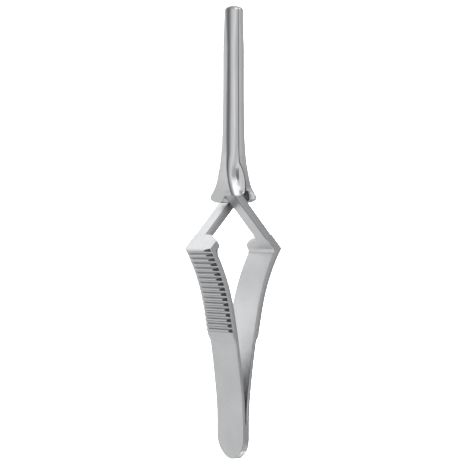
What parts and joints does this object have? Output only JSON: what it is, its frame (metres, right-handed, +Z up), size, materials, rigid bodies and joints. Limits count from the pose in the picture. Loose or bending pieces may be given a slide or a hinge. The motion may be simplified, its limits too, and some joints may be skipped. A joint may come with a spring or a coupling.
{
  "type": "cross-action spring clamp",
  "caption": "Self-closing cross-action steel clamp: bowed spring handles joined at the tail cross over, so squeezing their ridged pads opens the long, straight, rounded jaws.",
  "frame": {"origin": "middle of the clamp's box, on the surface that its strip edges lie on", "axes": "+X along the clamp from tail to jaw tips, +Y towards the left handle, which is the opening direction, +Z up across the width of the strips"},
  "size_m": [0.085, 0.0168, 0.0085],
  "materials": {
    "spring_steel": "satin",
    "satin_steel": "satin",
    "jaw_steel": "satin",
    "braze_silver": "matte"
  },
  "bodies": {
    "tail": {"left_tail_leaf": "spring_steel", "right_tail_leaf": "spring_steel", "tail_braze": "braze_silver", "left_spring_leaf": "spring_steel", "right_spring_leaf": "spring_steel"},
    "left_half": {"left_grip_pad": "satin_steel", "left_cross_arm": "satin_steel", "right_jaw": "jaw_steel"},
    "right_half": {"right_grip_pad": "satin_steel", "right_cross_arm": "satin_steel", "left_jaw": "jaw_steel"}
  },
  "joints": [
    {"name": "left_flex", "type": "hinge", "parent": "tail", "child": "left_half", "pos_m": [-0.0289, 0.00081, 0.00425], "axis": [0, 0, -1], "range_deg": [0, 7], "stiffness_Nm_per_rad": 2.6, "springref_deg": -1.15, "deforming": ["left_spring_leaf"]},
    {"name": "right_flex", "type": "hinge", "parent": "tail", "child": "right_half", "pos_m": [-0.0289, -0.00081, 0.00425], "axis": [0, 0, 1], "range_deg": [0, 7], "stiffness_Nm_per_rad": 2.6, "springref_deg": -1.15, "deforming": ["right_spring_leaf"]}
  ],
  "couplings": [
    {"joint": "right_flex", "follows": "left_flex", "ratio": 1}
  ]
}
